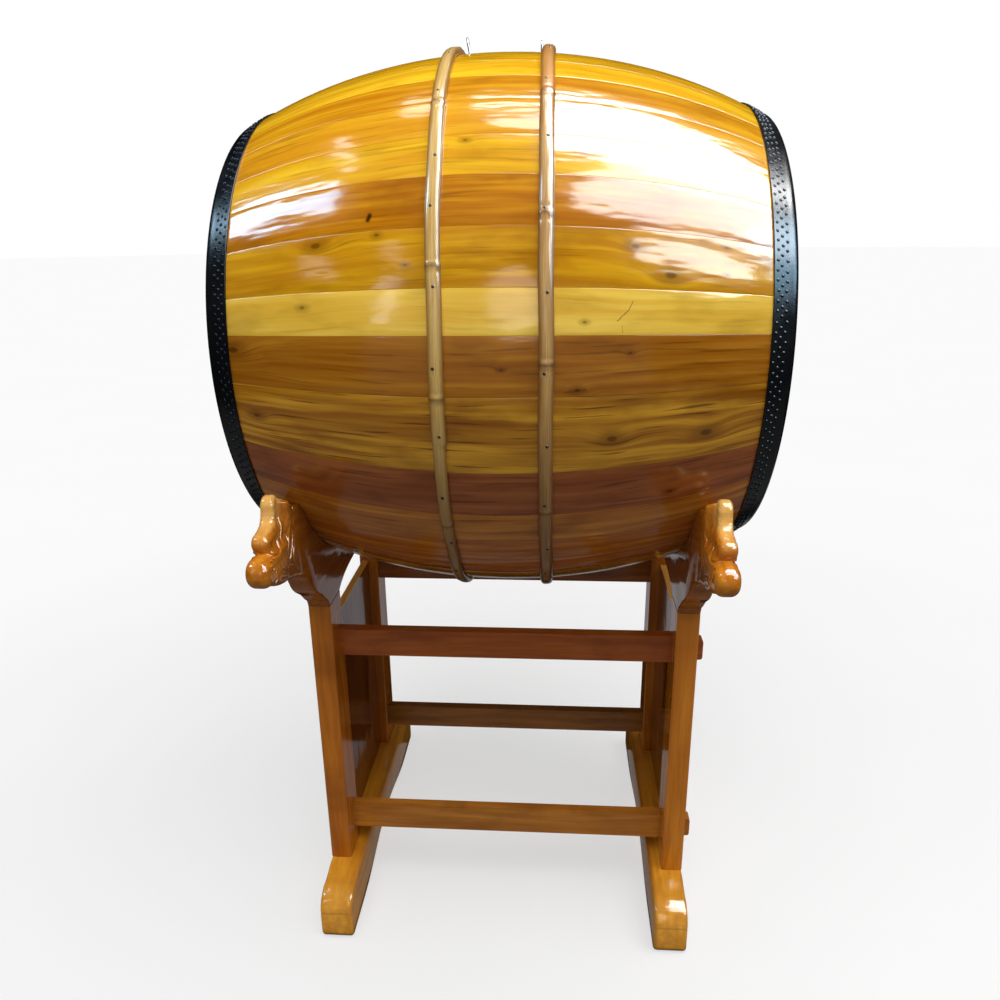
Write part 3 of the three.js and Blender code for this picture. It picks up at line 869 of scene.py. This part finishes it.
def foot_highlight_and_shade(s, colour):
    """Painted light: the toes are painted paler as a painted highlight, and the inner sides under the panels
    browner as painted shade.
    """
    x, y, z = s.split(s.object_coords())
    # painted highlight on the toes
    toe = s.between(s.math("ABSOLUTE", y), FOOT_HALF - 0.09, FOOT_HALF - 0.02, 0.0, 0.12)
    # painted shade on the inner sides, under the panels
    inner = s.between(s.math("ABSOLUTE", x), FOOT_INNER + 0.001, FOOT_INNER + 0.012, 0.6, 0.0)
    colour = s.mix(inner, colour, s.mix(1.0, colour, linear(176, 158, 150), "MULTIPLY"))
    return s.mix(toe, colour, linear(255, 200, 104))


for i, word in enumerate(("left", "right")):
    low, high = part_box(f"foot_{word}")
    look = stand_wood(f"foot wood {i}", "yxz", 12.5 + i, *FOOT_WOOD, foot_highlight_and_shade)
    replaced = [f"foot_{word}"]
    board(f"sledge_foot_{word}", foot_outline(), low.x, high.x, FOOT_ROUNDING, look, replaced)


# Cradle beams with carved heads, in millimetres until the mesh is made

axis_z = AXIS_Z / MM
post_top = post_high.z / MM + POST_GAP
right_low, right_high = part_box("post_front_right")
outer_face = (right_high.x - post_low.x) / 2 / MM
inner_face = (right_low.x - post_high.x) / 2 / MM
stand_shift = (right_high.x + post_low.x) / 2 / MM
seat_top = axis_z - SEAT_DROP
seat_end = math.sqrt((shell_radius(outer_face * MM) / MM - SEAT_OVERLAP) ** 2 - SEAT_DROP ** 2)
post_front = POST_FRONT / MM
post_back = post_front - POST_DEPTH


def on_head(points):
    """Points given from the seat's upper end."""
    return [(seat_end + out, seat_top + up) for out, up in points]


def on_neck(points):
    """Points given from the front of the post's top."""
    return [(post_front + out, post_top + up) for out, up in points]


def head_arc(out, up, radius, start, end, pieces):
    return arc(seat_end + out, seat_top + up, radius, start, end, pieces)


def beam_outline():
    """(y, z) of the beam's front half: along its underside, round the head and down into the seat."""
    rise = 24
    bend = []
    for i in range(25):
        t = i / 24
        y = 2 * t * (1 - t) * post_back * 0.75 + t * t * post_back
        z = (1 - t) ** 2 * (post_top + rise) + 2 * t * (1 - t) * (post_top + rise) + t * t * post_top
        bend.append((y, z))
    throat = on_head([(27, -142)])
    half = bend + [(post_front, post_top)]
    half += smooth_curve(on_neck([(0, 0), (7, 14), (20, 24), (40, 42), (76, 68)]) + throat, 6)[1:]
    half += smooth_curve(throat + on_head([(57, -124), (110, -107), (158, -94), (182, -84)]), 6)[1:]
    half += head_arc(SNOUT_OUT, -58, SNOUT_R, -78, 95, 18)
    half += head_arc(157, -20, 16, -50, 95, 12)
    half += smooth_curve(on_head([(155, -4), (141, -3), (127, 2), (119, 10), (115.5, 20)]), 6)
    half += head_arc(96, CREST_UP, CREST_R, 0, 165, 14)
    half += head_arc(80, 23, 9, 50, 165, 8)
    half += head_arc(64, 11, 8, 60, 180, 8)
    start = math.degrees(math.atan2(-SEAT_DROP, seat_end))
    radius = math.hypot(seat_end, SEAT_DROP)
    half += arc(0, axis_z, radius, start, -90, 30)
    return half


def distance_to_polyline(ys, zs, line, closed=False):
    """Unsigned distance of every grid point to a polyline, and the winding sign where it is closed."""
    pts = np.array(line, dtype=np.float64)
    nxt = np.roll(pts, -1, 0) if closed else pts[1:]
    pts = pts if closed else pts[:-1]
    best = np.full(ys.shape, 1e9)
    inside = np.zeros(ys.shape, dtype=bool)
    for (ay, az), (by, bz) in zip(pts, nxt):
        ey, ez = by - ay, bz - az
        size = ey * ey + ez * ez
        if size < 1e-12:
            continue
        t = np.clip(((ys - ay) * ey + (zs - az) * ez) / size, 0, 1)
        d = (ys - ay - t * ey) ** 2 + (zs - az - t * ez) ** 2
        best = np.minimum(best, d)
        if closed and az != bz:
            cross = ((az > zs) != (bz > zs)) & (ys < ey * (zs - az) / ez + ay)
            inside ^= cross
    best = np.sqrt(best)
    return np.where(inside, -best, best) if closed else best


# Grooves on both faces of a head: points from the seat's upper end, half width, depth.
GROOVES = [
    ([(90, 40), (93, 22), (98, 2), (107, -18), (118, -33)], 2.2, 3.6),
    ([(71, 26), (76, 6), (83, -16), (93, -38), (103, -52)], 2.2, 3.6),
    ([(56, 16), (60, -8), (68, -34), (80, -58), (92, -72)], 2.4, 4.0),
    ([(100, 30), (104, 10), (112, -8), (124, -22)], 1.4, 1.8),
    ([(81, 26), (85, 4), (92, -18), (101, -36)], 1.4, 1.8),
    ([(64, 12), (69, -12), (77, -36), (88, -56)], 1.4, 1.8),
    ([(176, -31), (160, -39), (146, -40), (135, -33), (128, -20), (131, -8)], 2.6, 4.2),
    ([(150, -26), (144, -18), (146, -10), (153, -8), (158, -14), (154, -21), (147, -20)], 1.3, 1.8),
    ([(189, -44), (181, -42), (176, -49), (180, -56), (186, -53)], 1.7, 2.6),
    ([(172, -40), (167, -50), (169, -62), (178, -70)], 1.8, 2.6),
    ([(178, -83), (163, -74), (146, -72), (128, -78), (112, -88)], 2.3, 3.6),
    ([(160, -45), (156, -55), (158, -66)], 1.5, 2.2),
    ([(149, -47), (145, -57), (146, -68)], 1.5, 2.2),
    ([(138, -44), (132, -56), (124, -72), (112, -84)], 1.5, 2.4),
    ([(129, -40), (121, -54), (112, -68), (100, -80)], 1.5, 2.4),
    ([(118, -42), (109, -58), (99, -72), (86, -86)], 1.5, 2.4),
    ([(106, -56), (96, -70), (84, -82), (70, -92)], 1.6, 2.4),
    ([(60, -28), (66, -54), (78, -78), (68, -100), (50, -118)], 2.8, 4.0),
    ([(150, -84), (134, -90), (118, -96)], 1.4, 1.8),
]
HATCHES = [((108 + 3.1 * k, 24 - 5.6 * k), (114 + 3.1 * k, 20 - 5.6 * k), (119 + 3.1 * k, 10 - 5.6 * k))
           for k in range(6)]


def carving(out, up):
    """Depth of the carving in mm at points given from the seat's upper end."""
    depth = np.zeros(out.shape)
    for line, width, deep in GROOVES:
        d = distance_to_polyline(out, up, smooth_curve(line, 5))
        depth = np.maximum(depth, deep * np.clip(1 - (d / width) ** 2, 0, 1) ** 0.7)
    for line in HATCHES:
        d = distance_to_polyline(out, up, smooth_curve(line, 3))
        depth = np.maximum(depth, 1.1 * np.clip(1 - (d / 1.2) ** 2, 0, 1))
    step = np.clip((92 - out - 0.35 * np.minimum(up, 0)) / 6, 0, 1) * 1.2
    step += np.clip((73 - out - 0.45 * np.minimum(up, 0)) / 6, 0, 1) * 1.2
    head = 1 / (1 + np.exp(-(out - 50 - 0.25 * np.minimum(up + 60, 0)) / 5.0))
    return depth * head + step * head


def portion(value, low, high):
    """0 up to low, 1 from high on, and straight between."""
    return np.clip((value - low) / (high - low), 0, 1)


def head_inset(out, up):
    """How far a head's inner side lies back in mm: most at the brow and crest, less at eye and muzzle."""
    eye, muzzle = portion(up, 4, -10), portion(up, -26, -40)
    inset = 7.0 + portion(out, 84, 91) * (15.0 - 6.0 * eye - 9.0 * muzzle)
    return np.maximum(inset, 23.0 * portion(up, 25, 31))


def both_halves(field):
    """A field over y from 0 on, doubled to the whole beam."""
    return np.concatenate([field[:0:-1], field])


def carved_beam(name, side, look, replaced):
    """One beam with its two heads, as the surface of a distance field on a grid in mm."""
    pad = 6
    ys = np.arange(0, seat_end + SNOUT_OUT + SNOUT_R + pad, VOXEL)
    zs = np.arange(post_top - pad, seat_top + CREST_UP + CREST_R + pad + 4, VOXEL)
    grid_y, grid_z = np.meshgrid(ys, zs, indexing="ij")
    half = beam_outline()
    outline = half + [(-y, z) for y, z in reversed(half)]
    out, up = grid_y - seat_end, grid_z - seat_top
    snout = portion(out, 150, 180)
    flat = distance_to_polyline(grid_y, grid_z, outline, closed=True) + 0.8 * snout
    cut = carving(out, up)
    on_the_head = np.clip((out - 18 - 0.25 * np.minimum(up + 60, 0)) / 44, 0, 1)
    on_the_head = on_the_head ** 2 * (3 - 2 * on_the_head)
    outer = BEAM_HALF + HEAD_PROUD * on_the_head - cut
    inner = BEAM_HALF - head_inset(out, up) * on_the_head - cut
    edge = 3.0 + 5.0 * portion(grid_y, 335, 380) + 7.0 * snout
    flat, outer, inner, edge = [both_halves(field) for field in (flat, outer, inner, edge)]
    xs = np.arange(-BEAM_HALF - 4 * VOXEL, BEAM_HALF + 4.01 * VOXEL, VOXEL)
    all_y = np.concatenate([-ys[:0:-1], ys])
    a = flat[None] + edge[None]
    outward_x = side * xs[:, None, None]
    b = np.maximum(outward_x - outer[None], -outward_x - inner[None]) + edge[None]
    field = np.minimum(np.maximum(a, b), 0) + np.hypot(np.maximum(a, 0), np.maximum(b, 0)) - edge[None]
    world_x = side * (inner_face + outer_face) / 2 + stand_shift + xs
    shell = np.array([shell_radius(x * MM) / MM for x in world_x])[:, None, None] + SEAT_GAP
    rho = np.hypot(all_y[:, None], zs[None] - axis_z)[None]
    field = np.maximum(field, shell - rho)
    field = np.maximum(field, post_top - zs[None, None, :])
    grid = openvdb.FloatGrid(3 * VOXEL)
    grid.copyFromArray(np.clip(field, -3 * VOXEL, 3 * VOXEL).astype(np.float32))
    points, triangles, quads = grid.convertToPolygons(isovalue=0.0, adaptivity=0.0)
    points = points * VOXEL
    points += [world_x[0], all_y[0], zs[0]]
    faces = [tuple(int(i) for i in q) for q in quads] + [tuple(int(i) for i in t) for t in triangles]
    obj = make(name, points * MM, faces, look, replaced, 180)
    lighter = obj.modifiers.new("lighter", "DECIMATE")
    lighter.ratio = 0.45
    return outward(obj)


def beam_highlight_and_shade(s, colour):
    """Painted light: the necks and seats are painted browner as painted shade, the crests paler as a painted
    highlight and the chins darker as painted shade, against the rest of the heads.
    """
    x, y, z = s.split(s.object_coords())
    y = s.math("ABSOLUTE", y)
    head = s.between(y, (seat_end + 34) * MM, (seat_end + 78) * MM)
    middle_x = (inner_face + outer_face) / 2 * MM
    from_middle = s.math("ABSOLUTE", s.math("SUBTRACT", x, stand_shift * MM))
    outside = s.between(from_middle, middle_x - 0.004, middle_x + 0.003)
    upper = s.between(z, (seat_top - 26) * MM, (seat_top + 14) * MM)
    # painted highlight on the crests' outer upper parts
    crest = s.math("MULTIPLY", s.math("MULTIPLY", head, outside), upper)
    # painted shade under the chins
    chin = s.math("MULTIPLY", head, s.between(z, (seat_top - 94) * MM, (seat_top - 58) * MM, 0.75, 0.0))
    # painted shade on the beam away from the heads: neck and seat
    colour = s.mix(head, s.mix(1.0, colour, linear(196, 180, 176), "MULTIPLY"), colour)
    colour = s.mix(chin, colour, s.mix(1.0, colour, linear(170, 160, 120), "MULTIPLY"))
    return s.mix(s.math("MULTIPLY", crest, 0.6), colour, linear(255, 206, 116))


BEAM_WOOD = (linear(220, 142, 38), linear(176, 98, 20))
for side, word in SIDES:
    look = stand_wood(f"beam wood {word}", "yzx", 20.0 + side, *BEAM_WOOD, beam_highlight_and_shade)
    carved_beam(f"dragon_beam_{word}", side, look, [f"cradle_{word}"])


# Floor, light and camera

def flat_ring(name, inner, outer, look):
    """A level ring about the middle, or a disc where inner is 0."""
    sides = 96
    turn = [2 * math.pi * i / sides for i in range(sides)]
    points = [(outer * math.cos(a), outer * math.sin(a), 0) for a in turn]
    faces = [tuple(range(sides))]
    if inner:
        points += [(inner * math.cos(a), inner * math.sin(a), 0) for a in turn]
        faces = [(i, (i + 1) % sides, sides + (i + 1) % sides, sides + i) for i in range(sides)]
    mesh = bpy.data.meshes.new(name)
    mesh.from_pydata(points, [], faces)
    mesh.materials.append(look)
    obj = bpy.data.objects.new(name, mesh)
    bpy.context.collection.objects.link(obj)
    return obj


def floor_look():
    """Pale floor that brightens into the white of the surroundings."""
    s = Shader("pale studio floor")
    p = s.object_coords()
    tone = s.noise(p, 1.5, 2.0)
    far = s.between(s.length(p), 0.6, 2.9, 0.6, 1.0)
    s.set(Base_Color=s.mix(tone, grey(0.82), grey(0.86)), Roughness=0.8, Specular_IOR_Level=0.0)
    glow = s.nodes.new("ShaderNodeEmission")
    s.put(glow.inputs[0], s.mix(tone, grey(0.95), grey(0.97)))
    blend = s.nodes.new("ShaderNodeMixShader")
    s.put(blend.inputs[0], far)
    s.links.new(s.bsdf.outputs[0], blend.inputs[1])
    s.links.new(glow.outputs[0], blend.inputs[2])
    s.links.new(blend.outputs[0], s.out.inputs[0])
    return s.mat


def area(name, at, aim, size, size_y, radiance, colour=(1, 1, 1), shape="RECTANGLE", spin=0.0):
    """An area light that the camera doesn't see, as bright per square metre as radiance says."""
    light = bpy.data.lights.new(name, "AREA")
    light.shape = shape
    light.size = size
    light.size_y = size_y
    light.energy = radiance * 4 * size * size_y
    light.color = colour
    obj = bpy.data.objects.new(name, light)
    obj.location = at
    obj.rotation_mode = "QUATERNION"
    turn = (Vector(aim) - Vector(at)).to_track_quat("-Z", "Y")
    obj.rotation_quaternion = turn @ Quaternion((0, 0, 1), spin)
    obj.visible_camera = False
    bpy.context.collection.objects.link(obj)
    return obj


def softbox(*args, **more):
    """A light that lights, and isn't mirrored in the lacquer."""
    area(*args, **more).visible_glossy = False


def window(*args, **more):
    """A light that is mirrored in the lacquer alone."""
    area(*args, **more).visible_diffuse = False


def skylight(name, x, y, size, size_y, radiance, colour=(1, 1, 1), shape="RECTANGLE", spin=0.0):
    """A window in a level ceiling over the drum."""
    at = Vector((x, y, AXIS_Z + 4.0))
    window(name, at, at - Vector((0, 0, 1)), size, size_y, radiance, colour, shape, spin)


look = floor_look()
for name, inner, outer in (("floor", 0, 3.0), ("floor beyond", 3.0, 60.0)):
    ground = flat_ring(name, inner, outer, look)
    ground.visible_diffuse = False
    ground.visible_glossy = False
middle = Vector((0, 0, AXIS_Z))
softbox("overhead", (0.6, -1.2, 5.2), middle, 6.0, 5.0, 2.9)
softbox("front", (-0.3, -5.0, 2.6), middle, 5.0, 2.6, 0.8)
softbox("back", (0.3, 5.0, 2.4), middle, 5.0, 2.6, 0.9)
softbox("left", (-5.0, -0.6, 2.4), middle, 4.0, 2.6, 1.1)
softbox("right", (5.0, -0.6, 2.4), middle, 4.0, 2.6, 1.1)
softbox("ground", (0, 0, 0.01), middle, 4.0, 4.0, 0.3)
DAY = (0.90, 0.95, 1.0)
HAZE = (0.86, 0.94, 1.0)
FAR_HAZE = (0.92, 0.97, 1.0)
skylight("right sky near", 1.15, 0.10, 1.5, 2.2, 24)
skylight("right sky", 2.7, 0.05, 2.3, 2.1, 24)
skylight("right sky far", 4.3, 0.35, 1.6, 1.4, 24)
skylight("right haze", 3.5, -1.7, 5.2, 2.6, 13, HAZE, "ELLIPSE", spin=0.15)
skylight("right haze low", 5.8, -1.6, 4.6, 2.4, 13, HAZE, "ELLIPSE", spin=-0.1)
skylight("right haze far", 6.2, -4.7, 6.6, 2.4, 14, FAR_HAZE, "ELLIPSE", spin=-0.15)
window("right low sky", (7.0, -1.0, AXIS_Z + 3.2), middle, 3.4, 3.0, 11, (0.42, 0.74, 1.0))
skylight("left sky", -4.2, -1.1, 2.6, 1.1, 22, (0.42, 0.70, 1.0), spin=-0.38)
skylight("left sky far", -5.4, -0.5, 3.6, 1.5, 15, (0.50, 0.76, 1.0), "ELLIPSE", spin=-0.38)
skylight("left pane", -2.4, -0.1, 0.24, 1.1, 7, DAY)
skylight("left low pane", -2.95, -5.3, 0.5, 1.7, 2.5)
skylight("left far pane", -6.2, -5.4, 1.1, 1.3, 4)
skylight("crown slit", -0.1, 0.82, 0.8, 0.45, 13)
skylight("crown glow", 0.05, 0.02, 0.8, 0.6, 8, shape="ELLIPSE")
skylight("upper left slit", -1.15, 1.05, 0.5, 0.9, 4, shape="ELLIPSE")
window("front haze", (0.15, -5.5, AXIS_Z + 1.8), middle, 1.1, 2.6, 2.6, (1, 1, 0.97), "ELLIPSE")
window("front left pane", (-2.75, -5.0, AXIS_Z + 1.9), middle, 0.45, 1.7, 4.5)
window("room", (0, -7.0, 1.4), middle, 9.0, 4.5, 0.22)
window("ground mirror", (0, -1.9, 0.02), (0, -1.9, 3), 6.0, 4.4, 0.13)
window("ground behind", (0.1, 2.1, 0.02), (0.1, 2.1, 3), 4.0, 2.4, 0.27, (0.92, 0.95, 1.0))
world = bpy.data.worlds.new("studio")
world.use_nodes = True
world.node_tree.nodes["Background"].inputs[0].default_value = (1, 1, 1, 1)
world.node_tree.nodes["Background"].inputs[1].default_value = 1.0
world.cycles_visibility.diffuse = False
world.cycles_visibility.glossy = False
bpy.context.scene.world = world
bpy.context.scene.view_settings.view_transform = "Standard"

# The camera that was fitted to the photo
FOCAL_PX = 807.49
CAMERA_AT = (0.0954, -1.6677, 1.4269)
CAMERA_LOOKS = (-0.066437, 0.945618, -0.318422)
CAMERA_ROLL = -0.6943
camera = bpy.data.cameras.new("camera")
camera.sensor_width = 36
camera.lens = 36 * FOCAL_PX / 1000
cam = bpy.data.objects.new("camera", camera)
bpy.context.collection.objects.link(cam)
forward = Vector(CAMERA_LOOKS).normalized()
level = forward.cross(Vector((0, 0, 1))).normalized()
raised = level.cross(forward)
roll = math.radians(CAMERA_ROLL)
across = math.cos(roll) * level + math.sin(roll) * raised
upward = across.cross(forward)
cam.matrix_world = Matrix.Translation(CAMERA_AT) @ Matrix((across, upward, -forward)).transposed().to_4x4()
bpy.context.scene.camera = cam
